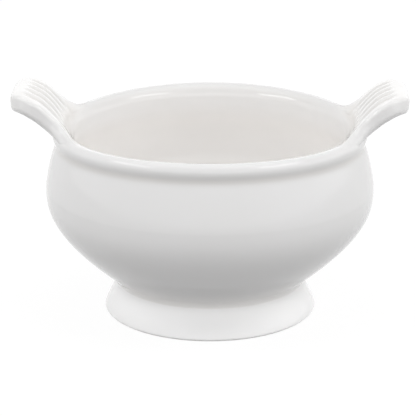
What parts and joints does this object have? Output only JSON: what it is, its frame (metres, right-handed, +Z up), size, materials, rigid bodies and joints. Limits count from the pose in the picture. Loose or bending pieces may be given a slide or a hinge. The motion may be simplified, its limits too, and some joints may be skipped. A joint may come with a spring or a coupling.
{
  "type": "soup bowl",
  "caption": "Round-bellied white porcelain soup bowl on a flared foot ring, a thick rounded rim and reeded lug handles rising from it.",
  "frame": {"origin": "middle of the object's box at the table, which is the bowl's upright axis where it meets the table", "axes": "+X along the line through both handles, +Z up the bowl's axis, -Z into the table"},
  "size_m": [0.1548, 0.13, 0.091],
  "materials": {
    "white_glaze": "smooth glossy white glaze over porcelain",
    "foot_glaze": "the same glaze, wiped off the flat land the foot stands on"
  },
  "bodies": {
    "root": {"bowl_body": "white_glaze", "foot_ring": "foot_glaze", "left_handle": "white_glaze", "right_handle": "white_glaze"}
  },
  "joints": []
}
